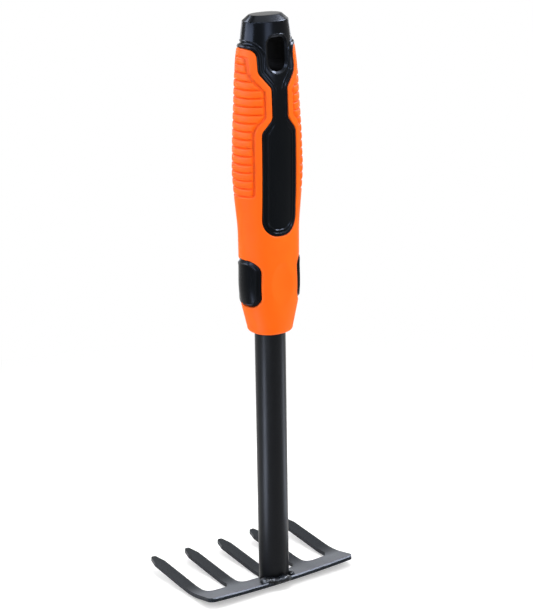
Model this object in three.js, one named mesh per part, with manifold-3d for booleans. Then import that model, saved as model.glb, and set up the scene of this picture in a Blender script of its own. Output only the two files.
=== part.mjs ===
// Hand rake: a bent five-tine steel head welded to a steel tube that carries a two-material moulded grip.
// Sizes are millimetres. +Z runs up the tube, the tines point to +Y and the label panel faces -Y.
// Heights are measured from the head's top face on the tube's axis, and the whole rake is then moved down
// so that the origin lies in the middle of the hanging slot.
import * as THREE from "three";
import { mergeVertices } from "three/addons/utils/BufferGeometryUtils.js";
import Module from "manifold-3d";

const wasm = await Module();
wasm.setup();

// Clearances and cutting
const fitGap = 0.3; // clearance between pieces that touch
const overrun = 6; // how far a cutting solid runs past what it cuts
const mergeReach = 1e-4; // vertices nearer than this are one

// Roundness
const arcStep = THREE.MathUtils.degToRad(18); // largest turn between two points of a rounded corner
const gripSides = 32; // facets round the grip
const tubeSides = 28; // facets round the tube
const gripSquareness = 2.2; // superellipse power of the grip's section, 2 is an ellipse

// Shaft tube, squeezed flat at its hidden upper end so that the grip can't turn on it
const tube = {
  diameter: 16,
  wall: 1.2,
  coreDepth: 45.3, // from the overmould's top edge down to the tube's hidden end
  flatLength: 9,
  flareLength: 22, // round to flat
  flatShare: 1.41, // width of the squeezed end, as a share of the diameter
  flatGap: 1, // slit left inside the squeezed end
  flareSteps: 7,
};

// Rake head: one bent and blanked sheet
const head = {
  sheet: 2.2, // thickness
  tineCount: 5,
  tinePitch: 21.6,
  tineWidth: 6.7, // at the root
  tineTipWidth: 6.3, // where the point begins
  tineLength: 48.1, // gap root to tip, seen from above
  pointLength: 7,
  pointWidth: 2.8,
  pointRadius: 1.1,
  shoulderRadius: 2.5, // where the point begins
  toe: 1.2, // how far the bar runs out in front of the tube
  barBack: 4.5, // tube axis to the gap roots
  cornerRadius: 2.3,
  rootRadius: 4.5,
  frontBevel: 0.7,
  bendStart: 2.5, // tube axis to the start of the bend
  bendLength: 14,
  bendSteps: 7,
  barRise: THREE.MathUtils.degToRad(10.3), // the bar climbs towards its front edge
  tineRise: THREE.MathUtils.degToRad(6.3), // the tines climb towards their tips
  endRise: 1.35, // the plate's left and right ends lie this much over its middle
  crossSteps: 9,
};
const barFront = tube.diameter / 2 + head.toe; // tube axis to the front edge
const headHalfWidth = ((head.tineCount - 1) * head.tinePitch + head.tineWidth) / 2;

// Weld beads at the tube's foot: middle and span of each in degrees round the tube, seen from above
const weld = {
  leg: 3.6, // along the plate
  height: 1.8, // up the tube
  bulge: 0.55, // crown over the flat face, as a share
  overhang: 0.8, // how far a bead may run over the plate's edge
  endShare: 0.45, // size of a bead's ends, as a share of its middle
  rippleShare: 0.13, // height of the ripples, as a share of the bead
  rippleTurn: 11, // degrees from ripple to ripple
  stepTurn: 3.6, // degrees between sections
  beads: {
    weld_front_left: [213, 26],
    weld_front: [241, 18],
    weld_front_right: [268, 30],
    weld_right: [322, 30],
    weld_back: [90, 40],
  },
};

// Grip: the outer form that the hard core and the soft overmould share
const grip = {
  bottom: 138.2,
  length: 147.1, // to the overmould's top edge
  width: 39.2,
  overTube: 4.6, // how far its deepest stretch stands over the tube
  endRadius: 2.3, // rounded lower rim
  rimSteps: 3,
  sole: 10.8, // the overmould's lowest stretch, which lies on the tube itself
  skin: 2.2, // thickness of the soft overmould
  panelRecess: 0.35, // the panel lies this far under the outer form
  windowProud: 0.15,
  rings: 15,
  coreRings: 8,
};

// Height, half width and half depth of the grip's section, as shares of its length, width and depth
const gripShares = [
  [0.016, 0.297, 0.44],
  [0.036, 0.316, 0.456],
  [0.071, 0.351, 0.474],
  [0.108, 0.389, 0.485],
  [0.148, 0.41, 0.488],
  [0.25, 0.417, 0.476],
  [0.31, 0.422, 0.467],
  [0.387, 0.432, 0.461],
  [0.43, 0.449, 0.467],
  [0.5, 0.477, 0.48],
  [0.573, 0.5, 0.489],
  [0.64, 0.491, 0.496],
  [0.7, 0.481, 0.5],
  [0.76, 0.467, 0.5],
  [0.815, 0.452, 0.494],
  [0.884, 0.441, 0.476],
  [0.952, 0.425, 0.437],
  [1, 0.398, 0.409],
];

// Cap: from the overmould's top edge up
const cap = { height: 15.7, topChamfer: 2.9 };

// Height as a share of the cap's, half width and half depth as shares of the grip's width and depth
const capShares = [
  [0, 0.395, 0.409],
  [0.075, 0.395, 0.409],
  [0.115, 0.384, 0.405],
  [0.16, 0.36, 0.394],
  [0.24, 0.344, 0.386],
  [0.38, 0.337, 0.38],
  [0.6, 0.326, 0.368],
];
const capRidgeShare = [0.313, 0.355]; // half width and half depth at the chamfer's foot

// The core's face inside the overmould, seen from the front, from the panel's bottom to the shoulder lip:
// half width and corner radius as shares of the grip's width, height as a share of its length
const faceShares = [
  [0.26, 0.356, 0.23],
  [0.26, 0.719, 0.128],
  [0.117, 0.763, 0.115],
  [0.117, 0.868, 0.115],
  [0.278, 0.9205, 0.128],
  [0.278, 0.9973, 0.128],
];
const faceRimShare = 1.0075; // where the face's outline passes over the sides
const sharpestShare = 0.01; // smallest corner radius that stays when the outline is grown

// Hanging slot through the cap
const slot = {
  drop: 3.1, // from the overmould's top edge down to the slot's middle
  width: 12,
  height: 16.8,
  topRadiusShare: 0.3, // of the width
  bottomRadiusShare: 0.45,
};

// Side windows where the core shows: heights as shares of the length, the rest of the depth and width
const windowShares = { middle: 0.1876, height: 0.166, depth: 0.722, radius: 0.23, inner: 0.26 };

// Thumb dimple on the front and back: the ellipsoid that presses it in, as shares of the grip's sizes
const dimple = { depth: 0.75, sides: 18, rows: 12 };
const dimpleShares = { middle: 0.185, width: 0.38, depth: 0.24, length: 0.163 };

// Rib fields on the flanks: heights as shares of the grip's length, borders as shares of its width
const ribs = { count: 17, depth: 0.85 };
const ribShares = {
  bottom: 0.497,
  top: 0.9815,
  groove: 0.284, // of the pitch
  border: 0.083, // from the core's face to the field
  endGroove: 0.023, // from the field's edge to the rib's end
};

const gripDepth = tube.diameter + 2 * grip.overTube;
const gripTop = grip.bottom + grip.length;
const gripStart = grip.bottom + grip.endRadius; // above the rounded lower rim
const coreBottom = grip.bottom + grip.sole;
const tubeTop = gripTop - tube.coreDepth;
const slotMiddle = gripTop - slot.drop;
const heightAt = (share) => grip.bottom + share * grip.length; // up the grip

const frontBack = new THREE.Matrix4().makeBasis(
  new THREE.Vector3(1, 0, 0),
  new THREE.Vector3(0, 0, 1),
  new THREE.Vector3(0, -1, 0),
);
const leftRight = new THREE.Matrix4().makeBasis(
  new THREE.Vector3(0, 1, 0),
  new THREE.Vector3(0, 0, 1),
  new THREE.Vector3(1, 0, 0),
);

// A closed geometry as a solid that can be cut and joined
function toSolid(geometry) {
  const bare = geometry.clone();
  bare.deleteAttribute("normal");
  bare.deleteAttribute("uv");
  const merged = mergeVertices(bare, mergeReach);
  return new wasm.Manifold(
    new wasm.Mesh({
      numProp: 3,
      vertProperties: merged.attributes.position.array,
      triVerts: new Uint32Array(merged.index.array),
    }),
  );
}

function toGeometry(solid) {
  const mesh = solid.getMesh();
  const geometry = new THREE.BufferGeometry();
  geometry.setAttribute("position", new THREE.BufferAttribute(mesh.vertProperties, 3));
  geometry.setIndex(new THREE.BufferAttribute(mesh.triVerts, 1));
  const flat = geometry.toNonIndexed();
  flat.computeVertexNormals();
  return flat;
}

// A closed outline through corners [x, y, radius], each rounded to its own radius
function roundedOutline(corners) {
  const points = [];
  corners.forEach(([x, y, radius], i) => {
    const corner = new THREE.Vector2(x, y);
    const towards = ([px, py]) => new THREE.Vector2(px, py).sub(corner).normalize();
    const before = towards(corners.at(i - 1));
    const after = towards(corners[(i + 1) % corners.length]);
    const halfAngle = Math.acos(before.dot(after)) / 2;
    if (!radius) {
      points.push(corner);
      return;
    }
    const bisector = before.clone().add(after).normalize();
    const centre = corner.clone().addScaledVector(bisector, radius / Math.sin(halfAngle));
    const start = corner.clone().addScaledVector(before, radius / Math.tan(halfAngle)).sub(centre);
    const turn = (Math.PI - 2 * halfAngle) * -Math.sign(before.cross(after));
    const steps = Math.max(2, Math.ceil(Math.abs(turn) / arcStep));
    for (let s = 0; s <= steps; s++) {
      points.push(start.clone().rotateAround(new THREE.Vector2(), (turn * s) / steps).add(centre));
    }
  });
  return points;
}

// The same corners with every side moved out by a distance; corners run anticlockwise
function grownCorners(corners, distance) {
  return corners.map(([x, y, radius], i) => {
    const corner = new THREE.Vector2(x, y);
    const [px, py] = corners.at(i - 1);
    const [nx, ny] = corners[(i + 1) % corners.length];
    const along = corner.clone().sub(new THREE.Vector2(px, py)).normalize();
    const next = new THREE.Vector2(nx, ny).sub(corner).normalize();
    const out = new THREE.Vector2(along.y, -along.x);
    const nextOut = new THREE.Vector2(next.y, -next.x);
    const reach = out.clone().add(nextOut).divideScalar(1 + out.dot(nextOut));
    const outside = along.cross(next) > 0;
    const sharpest = sharpestShare * grip.width;
    const grownRadius = outside ? radius + distance : Math.max(radius - distance, sharpest);
    return [x + reach.x * distance, y + reach.y * distance, radius ? grownRadius : 0];
  });
}

// A straight solid of an outline, from one distance to another along the frame's third axis
function prism(points, from, to, frame = new THREE.Matrix4()) {
  const settings = { depth: to - from, bevelEnabled: false };
  const geometry = new THREE.ExtrudeGeometry(new THREE.Shape(points), settings);
  geometry.translate(0, 0, from);
  geometry.applyMatrix4(frame);
  return toSolid(geometry);
}

// A closed solid through rings of points, with a fan over each end
function loft(rings) {
  const sides = rings[0].length;
  const middleOf = (ring) =>
    ring.reduce((sum, point) => sum.add(point), new THREE.Vector3()).divideScalar(sides);
  const points = [...rings.flat(), middleOf(rings[0]), middleOf(rings.at(-1))];
  const index = [];
  const firstMiddle = rings.length * sides;
  for (let s = 0; s < sides; s++) {
    const next = (s + 1) % sides;
    for (let r = 0; r + 1 < rings.length; r++) {
      const a = r * sides + s;
      const b = r * sides + next;
      index.push(a, b, b + sides, a, b + sides, a + sides);
    }
    const last = (rings.length - 1) * sides;
    index.push(firstMiddle, next, s);
    index.push(firstMiddle + 1, last + s, last + next);
  }
  const geometry = new THREE.BufferGeometry().setFromPoints(points);
  geometry.setIndex(index);
  return toSolid(geometry);
}

// One level ring of a superellipse
function ovalRing(halfWidth, halfDepth, height, sides, squareness) {
  return Array.from({ length: sides }, (_, s) => {
    const angle = (2 * Math.PI * s) / sides;
    const reach = (value) => Math.sign(value) * Math.abs(value) ** (2 / squareness);
    const across = halfWidth * reach(Math.cos(angle));
    const behind = halfDepth * reach(Math.sin(angle));
    return new THREE.Vector3(across, behind, height);
  });
}

// Rake head: height of the sheet's top face at a distance behind the tube's axis
function sheetHeight(y) {
  const barSlope = Math.tan(head.barRise);
  const turn = barSlope + Math.tan(head.tineRise);
  const past = Math.max(0, y - head.bendStart);
  const inBend = Math.min(past, head.bendLength);
  const pastBend = Math.max(0, past - head.bendLength);
  return (turn * inBend ** 2) / (2 * head.bendLength) + turn * pastBend - barSlope * y;
}

// How far the plate lies over its middle at a distance from it
function plateLift(x) {
  return head.endRise * (x / headHalfWidth) ** 2;
}

// The sheet's side view, with its top face raised and its underside at a depth, as an outline of (y, z)
function sheetOutline(raised, depth, front, back) {
  const stations = [front];
  for (let s = 0; s <= head.bendSteps; s++) {
    stations.push(head.bendStart + (head.bendLength * s) / head.bendSteps);
  }
  stations.push(back);
  const along = head.bendLength / head.bendSteps;
  const offset = (y, distance) => {
    const slope = (sheetHeight(y + along / 2) - sheetHeight(y - along / 2)) / along;
    const normal = new THREE.Vector2(-slope, 1).normalize();
    return new THREE.Vector2(y, sheetHeight(y)).addScaledVector(normal, distance);
  };
  const top = stations.map((y) => offset(y, raised)).reverse();
  const underside = stations.map((y) => offset(y, -depth));
  return [...underside, ...top];
}

// The sheet seen from above: bar, tines with pointed ends and rounded gap roots
function headPlan() {
  const halfCount = (head.tineCount - 1) / 2;
  const tip = head.barBack + head.tineLength;
  const pointStart = tip - head.pointLength;
  const corners = [
    [-headHalfWidth, -barFront, head.cornerRadius],
    [headHalfWidth, -barFront, head.cornerRadius],
  ];
  for (let tine = halfCount; tine >= -halfCount; tine--) {
    const x = tine * head.tinePitch;
    const half = head.tineTipWidth / 2;
    if (tine < halfCount) corners.push([x + head.tineWidth / 2, head.barBack, head.rootRadius]);
    corners.push([x + half, pointStart, head.shoulderRadius]);
    corners.push([x + head.pointWidth / 2, tip, head.pointRadius]);
    corners.push([x - head.pointWidth / 2, tip, head.pointRadius]);
    corners.push([x - half, pointStart, head.shoulderRadius]);
    if (tine > -halfCount) corners.push([x - head.tineWidth / 2, head.barBack, head.rootRadius]);
  }
  return corners;
}

// A bar of one (y, z) section from side to side, curved like the plate
function plateBar(outline, halfLength) {
  const shape = new THREE.Shape(outline);
  const settings = { depth: 2 * halfLength, steps: head.crossSteps, bevelEnabled: false };
  const geometry = new THREE.ExtrudeGeometry(shape, settings).translate(0, 0, -halfLength);
  geometry.applyMatrix4(leftRight);
  const position = geometry.attributes.position;
  for (let i = 0; i < position.count; i++) {
    position.setZ(i, position.getZ(i) + plateLift(position.getX(i)));
  }
  return toSolid(geometry);
}

function rakeHead() {
  const tip = head.barBack + head.tineLength + overrun;
  const blank = prism(roundedOutline(headPlan()), -tip, tip);
  const halfLength = headHalfWidth + overrun;
  const sheet = plateBar(sheetOutline(0, head.sheet, -barFront - overrun, tip), halfLength);
  const frontTop = sheetHeight(-barFront);
  const bevelCut = plateBar(
    [
      new THREE.Vector2(-barFront - overrun, frontTop - overrun - head.frontBevel),
      new THREE.Vector2(-barFront + overrun + head.frontBevel, frontTop + overrun),
      new THREE.Vector2(-barFront - overrun, frontTop + overrun),
    ],
    halfLength,
  );
  return sheet.intersect(blank).subtract(bevelCut);
}

// Tube: rings from below the plate to the squeezed end, with the wall moved out or in by an offset
function tubeRings(offset, bottom, top) {
  const radius = tube.diameter / 2;
  const flatHalfWidth = tube.flatShare * radius;
  const flatHalfDepth = tube.wall + tube.flatGap / 2;
  const flareTop = tubeTop - tube.flatLength;
  const rings = [ovalRing(radius + offset, radius + offset, bottom, tubeSides, 2)];
  for (let s = 0; s <= tube.flareSteps; s++) {
    const part = s / tube.flareSteps;
    const ease = part * part * (3 - 2 * part);
    rings.push(
      ovalRing(
        radius + (flatHalfWidth - radius) * ease + offset,
        radius + (flatHalfDepth - radius) * ease + offset,
        flareTop - tube.flareLength * (1 - part),
        tubeSides,
        2,
      ),
    );
  }
  rings.push(ovalRing(flatHalfWidth + offset, flatHalfDepth + offset, top, tubeSides, 2));
  return rings;
}

// What the tube's foot is cut to: the head's sheet with the fitting gap over it
function footCut() {
  const reach = tube.diameter + overrun;
  return plateBar(sheetOutline(fitGap, reach, -reach, reach), reach);
}

function shaftTube() {
  const below = -tube.diameter;
  const outer = loft(tubeRings(0, below, tubeTop));
  const bore = loft(tubeRings(-tube.wall, below - overrun, tubeTop - tube.wall));
  return outer.subtract(bore).subtract(footCut());
}

// A weld bead: a crowned fillet between plate and tube whose size ripples and tapers to its ends
function weldBead(middle, span) {
  const steps = Math.round(span / weld.stepTurn);
  const crown = (1 + weld.bulge) / 2;
  const section = [
    [0, 0],
    [0, 1],
    [weld.bulge, crown],
    [crown, weld.bulge],
    [1, 0],
  ];
  const rings = Array.from({ length: steps + 1 }, (_, s) => {
    const part = s / steps;
    const turn = THREE.MathUtils.degToRad(middle + span * (part - 0.5));
    const taper = weld.endShare + (1 - weld.endShare) * Math.sqrt(Math.sin(Math.PI * part));
    const ripple = 1 + weld.rippleShare * Math.cos((2 * Math.PI * span * part) / weld.rippleTurn);
    const size = taper * ripple;
    return section.map(([out, up]) => {
      const radius = tube.diameter / 2 + fitGap + weld.leg * size * out;
      const x = radius * Math.cos(turn);
      const y = radius * Math.sin(turn);
      const plate = sheetHeight(y) + plateLift(x);
      return new THREE.Vector3(x, y, plate + fitGap + weld.height * size * up);
    });
  });
  const overPlate = roundedOutline(grownCorners(headPlan(), weld.overhang));
  return loft(rings).intersect(prism(overPlate, -tube.diameter, tube.diameter));
}

// Grip: rings of the outer form, moved in by an inset, between two heights
function gripRings(inset, from, to, count) {
  const stations = gripShares.map(
    ([height, width, depth]) =>
      new THREE.Vector3(width * grip.width, depth * gripDepth, grip.bottom + height * grip.length),
  );
  const curve = new THREE.CatmullRomCurve3(stations, false, "centripetal");
  const samples = curve.getSpacedPoints(count * gripShares.length);
  const sizeAt = (height) => {
    const below = samples.slice(1, -1).filter((point) => point.z < height).length;
    const [low, high] = [samples[below], samples[below + 1]];
    return low.clone().lerp(high, (height - low.z) / (high.z - low.z));
  };
  return Array.from({ length: count + 1 }, (_, r) => {
    const size = sizeAt(from + ((to - from) * r) / count);
    return ovalRing(size.x - inset, size.y - inset, size.z, gripSides, gripSquareness);
  });
}

// The outer form of the grip, with its rounded lower rim, moved in by an inset
function gripForm(inset) {
  const rings = gripRings(inset, gripStart, gripTop, grip.rings);
  const rim = Array.from({ length: grip.rimSteps }, (_, s) => {
    const turn = (Math.PI / 2) * (s / grip.rimSteps);
    const drop = grip.endRadius * (1 - Math.sin(turn));
    const height = gripStart - grip.endRadius * Math.cos(turn);
    return rings[0].map((point) => {
      const reach = Math.hypot(point.x, point.y);
      const scale = (reach - drop) / reach;
      return new THREE.Vector3(point.x * scale, point.y * scale, height);
    });
  });
  return loft([...rim, ...rings]);
}

// The core under the overmould, grown by a gap where the overmould is cut to it
function coreBody(gap) {
  return loft(gripRings(grip.skin - gap, coreBottom - gap, gripTop, grip.coreRings));
}

// The core's outline from the front, where it shows through the overmould, grown by a distance
function faceCorners(distance) {
  const side = grip.width;
  const rightHalf = faceShares.map(([halfWidth, height, radius]) => [
    halfWidth * grip.width,
    heightAt(height),
    radius * grip.width,
  ]);
  rightHalf.push([side, heightAt(faceRimShare), 0], [side, gripTop + cap.height, 0]);
  const leftHalf = rightHalf.map(([x, z, radius]) => [-x, z, radius]).reverse();
  return grownCorners([...rightHalf, ...leftHalf], distance);
}

function facePrism(distance) {
  return prism(roundedOutline(faceCorners(distance)), -gripDepth, gripDepth, frontBack);
}

// Both side windows, grown by a distance
function windowPrisms(distance) {
  const half = (windowShares.depth * gripDepth) / 2;
  const low = heightAt(windowShares.middle - windowShares.height / 2);
  const high = heightAt(windowShares.middle + windowShares.height / 2);
  const radius = windowShares.radius * gripDepth;
  const corners = [
    [-half, low, radius],
    [half, low, radius],
    [half, high, radius],
    [-half, high, radius],
  ];
  const outline = roundedOutline(grownCorners(corners, distance));
  const inner = windowShares.inner * grip.width;
  const right = prism(outline, inner, grip.width, leftRight);
  const left = prism(outline, -grip.width, -inner, leftRight);
  return right.add(left);
}

// Cap with its shoulder lip and chamfered flat top
function capForm() {
  const ring = (halfWidth, halfDepth, height) =>
    ovalRing(halfWidth, halfDepth, gripTop + height, gripSides, gripSquareness);
  const rings = capShares.map(([height, width, depth]) =>
    ring(width * grip.width, depth * gripDepth, height * cap.height),
  );
  const ridgeHeight = cap.height - cap.topChamfer;
  const [ridgeWidth, ridgeDepth] = [capRidgeShare[0] * grip.width, capRidgeShare[1] * gripDepth];
  rings.push(ring(ridgeWidth, ridgeDepth, ridgeHeight));
  rings.push(ring(ridgeWidth - cap.topChamfer, ridgeDepth - cap.topChamfer, cap.height));
  return loft(rings);
}

// Hanging slot, straight through from front to back
function slotCut() {
  const half = slot.width / 2;
  const low = slotMiddle - slot.height / 2;
  const high = slotMiddle + slot.height / 2;
  const corners = [
    [-half, low, slot.bottomRadiusShare * slot.width],
    [half, low, slot.bottomRadiusShare * slot.width],
    [half, high, slot.topRadiusShare * slot.width],
    [-half, high, slot.topRadiusShare * slot.width],
  ];
  return prism(roundedOutline(corners), -gripDepth, gripDepth, frontBack);
}

function handleCore() {
  const seenFace = gripForm(grip.panelRecess).intersect(facePrism(0));
  const seenSides = gripForm(-grip.windowProud).intersect(windowPrisms(0));
  const bore = loft(tubeRings(fitGap, -overrun, tubeTop + fitGap));
  return coreBody(0).add(seenFace).add(seenSides).add(capForm()).subtract(slotCut()).subtract(bore);
}

// Rib fields: what is cut away between the ribs and round their ends
function ribCut() {
  const slab = (low, high) => {
    const band = [
      new THREE.Vector2(-grip.width, low),
      new THREE.Vector2(grip.width, low),
      new THREE.Vector2(grip.width, high),
      new THREE.Vector2(-grip.width, high),
    ];
    return prism(band, -gripDepth, gripDepth, frontBack);
  };
  const [bottom, top] = [heightAt(ribShares.bottom), heightAt(ribShares.top)];
  const pitch = (top - bottom) / (ribs.count + ribShares.groove);
  const border = ribShares.border * grip.width;
  const ribEnds = facePrism(border + ribShares.endGroove * grip.width);
  let grooves = slab(bottom, top).subtract(facePrism(border));
  for (let rib = 0; rib < ribs.count; rib++) {
    const low = bottom + (rib + ribShares.groove) * pitch;
    const land = slab(low, bottom + (rib + 1) * pitch);
    grooves = grooves.subtract(land.subtract(ribEnds));
  }
  return grooves.subtract(gripForm(ribs.depth));
}

// Thumb dimples on the front and the back
function dimpleCut() {
  const middle = heightAt(dimpleShares.middle);
  const depthRadius = dimpleShares.depth * gripDepth;
  const sphere = new THREE.SphereGeometry(1, dimple.sides, dimple.rows);
  sphere.scale(dimpleShares.width * grip.width, depthRadius, dimpleShares.length * grip.length);
  const surface = Math.max(...gripRings(0, middle, gripTop, 1)[0].map((point) => point.y));
  const offset = surface + depthRadius - dimple.depth;
  const front = sphere.clone().translate(0, -offset, middle);
  const back = sphere.clone().translate(0, offset, middle);
  return toSolid(front).add(toSolid(back));
}

function gripOvermould() {
  const hole = loft(tubeRings(fitGap, 0, tubeTop + fitGap));
  return gripForm(0)
    .subtract(coreBody(fitGap))
    .subtract(facePrism(fitGap))
    .subtract(windowPrisms(fitGap))
    .subtract(hole)
    .subtract(ribCut())
    .subtract(dimpleCut());
}

// Finishes
const finishes = {
  headSteel: { color: 0x5d6169, roughness: 0.5, metalness: 0.25 },
  tubeCoat: { color: 0x1d2124, roughness: 0.36, metalness: 0.1 },
  weldMetal: { color: 0x4a4e54, roughness: 0.4, metalness: 0.5 },
  blackPlastic: { color: 0x15181a, roughness: 0.28, metalness: 0 },
  orangeRubber: { color: 0xfc6e22, roughness: 0.62, metalness: 0 },
};

function piece(name, solid, finish) {
  const mesh = new THREE.Mesh(toGeometry(solid), new THREE.MeshStandardMaterial(finishes[finish]));
  mesh.name = name;
  return mesh;
}

const rake = new THREE.Group();
rake.add(piece("rake_head", rakeHead(), "headSteel"));
rake.add(piece("shaft_tube", shaftTube(), "tubeCoat"));
for (const [name, [middle, span]] of Object.entries(weld.beads)) {
  rake.add(piece(name, weldBead(middle, span), "weldMetal"));
}
rake.add(piece("handle_core", handleCore(), "blackPlastic"));
rake.add(piece("grip_overmould", gripOvermould(), "orangeRubber"));
rake.position.z = -slotMiddle;

export default rake;
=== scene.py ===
import math
import bmesh
import bpy
import numpy as np
from mathutils import Matrix, Vector


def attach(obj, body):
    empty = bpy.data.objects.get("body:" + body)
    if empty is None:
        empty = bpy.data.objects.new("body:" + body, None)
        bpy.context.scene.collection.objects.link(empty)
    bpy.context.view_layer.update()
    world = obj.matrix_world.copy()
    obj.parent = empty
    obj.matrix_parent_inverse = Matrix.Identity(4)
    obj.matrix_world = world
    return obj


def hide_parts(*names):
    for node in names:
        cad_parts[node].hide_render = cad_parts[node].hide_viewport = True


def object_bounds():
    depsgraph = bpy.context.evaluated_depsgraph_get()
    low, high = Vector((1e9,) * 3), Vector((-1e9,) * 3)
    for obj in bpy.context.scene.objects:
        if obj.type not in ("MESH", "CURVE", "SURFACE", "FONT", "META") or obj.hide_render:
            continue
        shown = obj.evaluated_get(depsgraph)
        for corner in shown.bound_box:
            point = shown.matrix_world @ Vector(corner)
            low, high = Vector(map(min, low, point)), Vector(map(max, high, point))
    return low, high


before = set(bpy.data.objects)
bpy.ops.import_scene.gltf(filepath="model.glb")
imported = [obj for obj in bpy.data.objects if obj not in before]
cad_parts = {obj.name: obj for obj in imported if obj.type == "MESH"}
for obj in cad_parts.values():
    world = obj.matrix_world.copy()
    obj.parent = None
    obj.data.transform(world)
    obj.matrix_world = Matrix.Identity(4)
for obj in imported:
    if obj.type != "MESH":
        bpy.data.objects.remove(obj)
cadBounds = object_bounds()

# Hand rake: bent steel head, coated tube, weld beads, hard black core and soft orange overmould.
# Sizes are in millimetres. Heights are measured from the head's top face on the tube's axis, and
# inMetres() moves them down so that the middle of the hanging slot is the origin.
slotHeight = 282.2
mm = 0.001
tiny = 1e-12                              # guards divisions and comparisons


def inMetres(points):
    placed = np.array(points, dtype=float)
    placed[:, 2] -= slotHeight
    return placed * mm


# small tools


# adds a node with its settings; its inputs come in order or by name, a node or socket is linked in
def addNode(tree, kind, inputs=(), **settings):
    node = tree.nodes.new(kind)
    for key, value in settings.items():
        setattr(node, key, value)
    for key, value in inputs.items() if isinstance(inputs, dict) else enumerate(inputs):
        if isinstance(value, bpy.types.Node):
            value = value.outputs[0]
        if isinstance(value, bpy.types.NodeSocket):
            tree.links.new(value, node.inputs[key])
        else:
            node.inputs[key].default_value = value
    return node


def linearColour(hexCode):
    shares = [int(hexCode[i:i + 2], 16) / 255 for i in (1, 3, 5)]
    return [c / 12.92 if c <= 0.04045 else ((c + 0.055) / 1.055) ** 2.4 for c in shares] + [1.0]


def smoothStep(low, high, value):
    part = np.clip((value - low) / (high - low), 0, 1)
    return part * part * (3 - 2 * part)


def makeObject(name, vertices, faces, material):
    mesh = bpy.data.meshes.new(name)
    mesh.from_pydata([tuple(v) for v in vertices], [], faces)
    mesh.materials.append(material)
    mesh.update()
    piece = bpy.data.objects.new(name, mesh)
    bpy.context.collection.objects.link(piece)
    return piece


# turns what the modifiers make into a plain mesh
def bakeModifiers(piece):
    evaluated = piece.evaluated_get(bpy.context.evaluated_depsgraph_get())
    mesh = bpy.data.meshes.new_from_object(evaluated)
    mesh.name = piece.name
    piece.modifiers.clear()
    piece.data = mesh
    return piece


def smoothFaces(piece, sharpDegrees):
    piece.data.shade_smooth()
    piece.data.set_sharp_from_angle(angle=math.radians(sharpDegrees))


# hands a finished piece over to the frame
def handOver(piece, node):
    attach(piece, "root")
    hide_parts(node)
    faces = sum(len(p.vertices) - 2 for p in piece.data.polygons)
    print("made", piece.name, faces, "triangles")


arcStep = 6                               # degrees between the points of a rounded corner


# a closed outline whose corners (x, y, radius) are rounded
def roundedOutline(corners, degrees=arcStep):
    points = []
    for index, (x, y, radius) in enumerate(corners):
        corner = np.array([x, y], dtype=float)
        if radius == 0:
            points.append(corner)
            continue
        before = np.array(corners[index - 1][:2]) - corner
        after = np.array(corners[(index + 1) % len(corners)][:2]) - corner
        before = before / np.linalg.norm(before)
        after = after / np.linalg.norm(after)
        half = math.acos(np.clip(before @ after, -1, 1)) / 2
        bisector = (before + after) / np.linalg.norm(before + after)
        centre = corner + bisector * radius / math.sin(half)
        start = corner + before * radius / math.tan(half) - centre
        turn = (math.pi - 2 * half) * -np.sign(before[0] * after[1] - before[1] * after[0])
        steps = max(2, math.ceil(abs(turn) / math.radians(degrees)))
        for step in range(steps + 1):
            cos, sin = math.cos(turn * step / steps), math.sin(turn * step / steps)
            points.append(centre + [cos * start[0] - sin * start[1], sin * start[0] + cos * start[1]])
    return np.array(points)


# distance of points from an outline, negative inside it
def outlineDistance(points, outline):
    best = np.full(len(points), np.inf)
    inside = np.zeros(len(points), dtype=bool)
    for a, b in zip(outline, np.roll(outline, -1, axis=0)):
        edge = b - a
        share = np.clip((points - a) @ edge / max(edge @ edge, tiny), 0, 1)
        foot = a + share[:, None] * edge
        best = np.minimum(best, np.hypot(*(points - foot).T))
        if a[1] != b[1]:
            crossing = a[0] + (points[:, 1] - a[1]) * edge[0] / edge[1]
            between = (a[1] > points[:, 1]) != (b[1] > points[:, 1])
            inside ^= between & (points[:, 0] < crossing)
    return np.where(inside, -best, best)


# a smooth curve through a table of (height, value, value...), read at any heights
def readStations(table, heights):
    table = np.array(table, dtype=float)
    at, values = table[:, 0], table[:, 1:]
    slopes = np.gradient(values, at, axis=0)
    index = np.clip(np.searchsorted(at, heights) - 1, 0, len(at) - 2)
    span = (at[index + 1] - at[index])[:, None]
    t = np.clip((heights - at[index])[:, None] / span, 0, 1)
    a, b = values[index], values[index + 1]
    ma, mb = slopes[index] * span, slopes[index + 1] * span
    cubic = (2 * t**3 - 3 * t**2 + 1) * a + (t**3 - 2 * t**2 + t) * ma
    return cubic + (3 * t**2 - 2 * t**3) * b + (t**3 - t**2) * mb


# camera

cameraSizes = {
    "place": (-0.56065, -0.80331, 0.17005),
    "azimuth": -34.816, "elevation": 17.115, "roll": -0.945,  # degrees
    "lens": 117.455, "sensor": 36.0, "clipStart": 0.01,
}


def makeCamera(sizes):
    azimuth, elevation, roll = (math.radians(sizes[k]) for k in ("azimuth", "elevation", "roll"))
    right = Vector((math.cos(azimuth), math.sin(azimuth), 0))
    back = Vector((math.sin(azimuth) * math.cos(elevation), -math.cos(azimuth) * math.cos(elevation),
                   math.sin(elevation)))
    up = back.cross(right)
    rolledRight = math.cos(roll) * right + math.sin(roll) * up
    rolledUp = math.cos(roll) * up - math.sin(roll) * right
    data = bpy.data.cameras.new("camera")
    data.lens = sizes["lens"]
    data.sensor_width = sizes["sensor"]
    data.clip_start = sizes["clipStart"]
    camera = bpy.data.objects.new("camera", data)
    bpy.context.collection.objects.link(camera)
    turned = Matrix((rolledRight, rolledUp, back)).transposed()
    camera.matrix_world = Matrix.Translation(sizes["place"]) @ turned.to_4x4()
    bpy.context.scene.camera = camera


makeCamera(cameraSizes)
print("camera placed")


# materials

def newMaterial(name):
    material = bpy.data.materials.new(name)
    material.use_nodes = True
    material.node_tree.nodes.clear()
    return material, material.node_tree


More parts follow.
